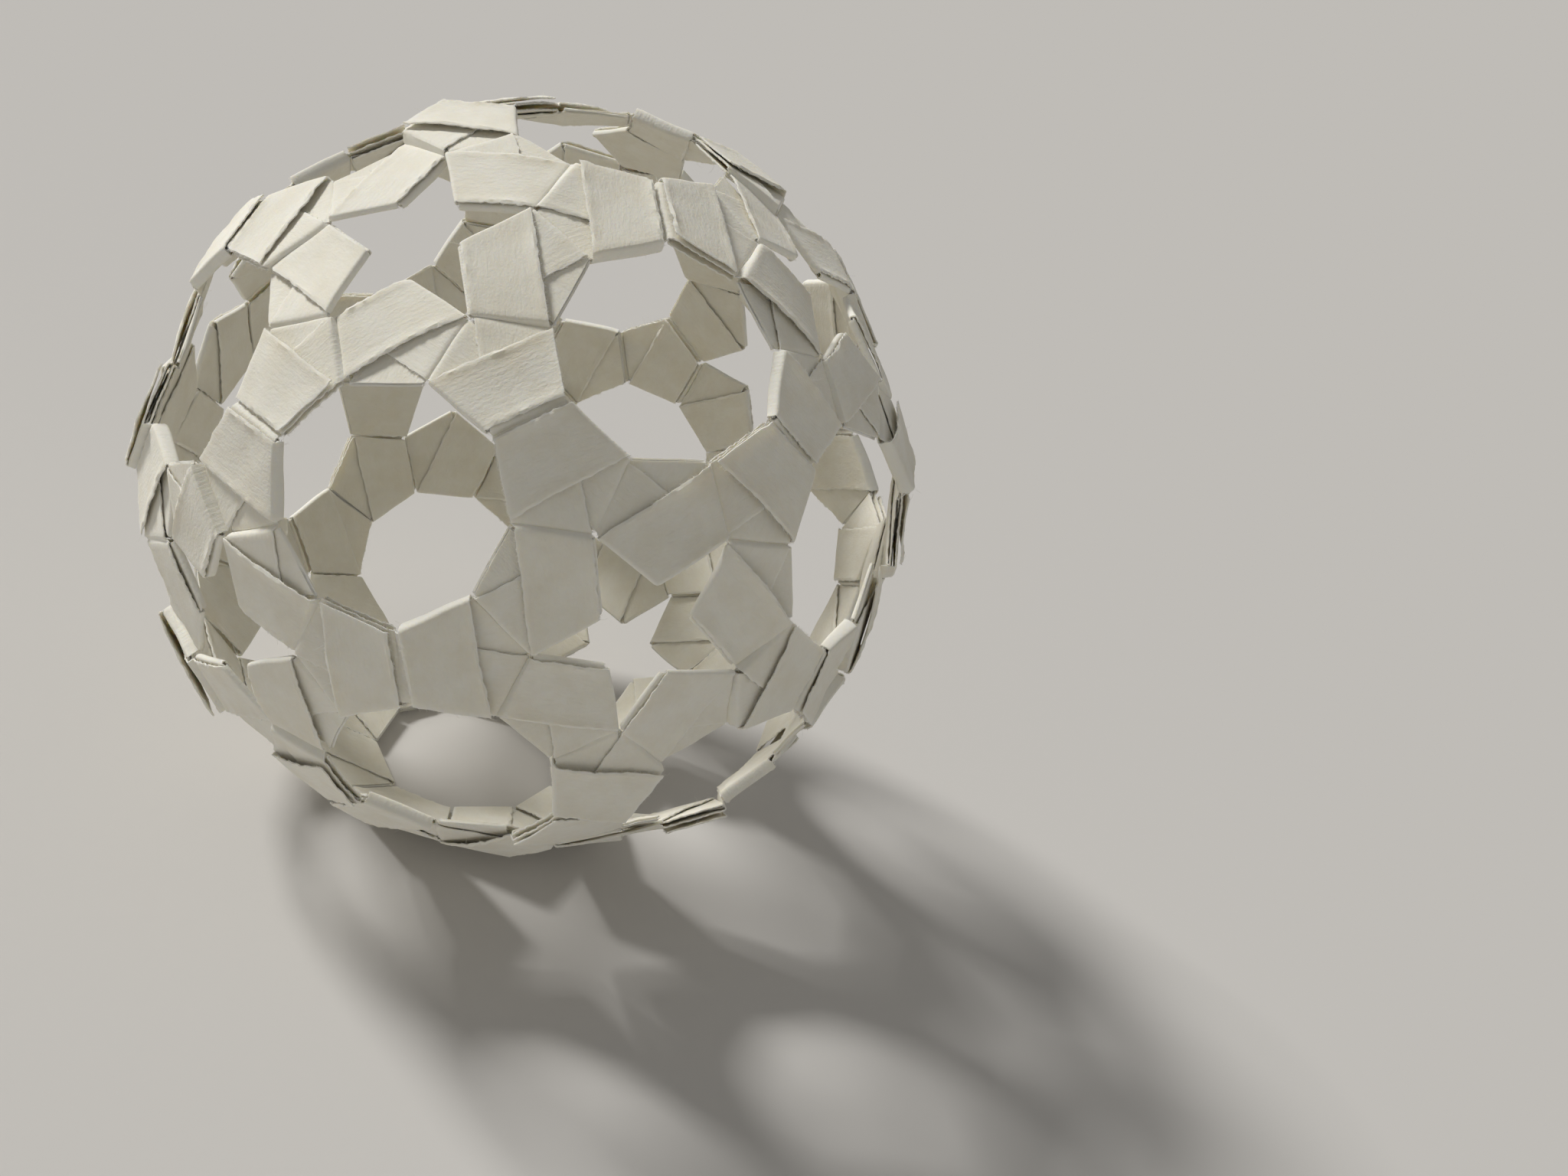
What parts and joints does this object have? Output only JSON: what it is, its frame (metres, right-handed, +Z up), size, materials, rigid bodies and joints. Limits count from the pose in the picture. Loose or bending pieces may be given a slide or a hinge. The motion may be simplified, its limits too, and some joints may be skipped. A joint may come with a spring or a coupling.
{
  "type": "modular origami ball",
  "caption": "Openwork ball folded from paper strips, tied in flat pentagonal knots that hinge edge to edge around star-shaped holes and larger round holes.",
  "frame": {"origin": "on the ball's vertical axis, at the level of the surface it stands on", "axes": "+Z up, through the middles of the nine-sided holes at the bottom and top; +X and +Y level"},
  "size_m": [0.1218, 0.1246, 0.121],
  "materials": {
    "paper": "matte, slightly fibrous"
  },
  "bodies": {
    "root": {"strip_01": "paper", "strip_02": "paper", "strip_03": "paper", "strip_04": "paper", "strip_05": "paper", "strip_06": "paper", "strip_07": "paper", "strip_08": "paper", "strip_09": "paper", "strip_10": "paper", "strip_11": "paper", "strip_12": "paper", "strip_13": "paper", "strip_14": "paper", "strip_15": "paper", "strip_16": "paper", "strip_17": "paper", "strip_18": "paper", "strip_19": "paper", "strip_20": "paper", "strip_21": "paper", "strip_22": "paper", "strip_23": "paper", "strip_24": "paper", "strip_25": "paper", "strip_26": "paper", "strip_27": "paper", "strip_28": "paper", "strip_29": "paper", "strip_30": "paper"}
  },
  "joints": []
}
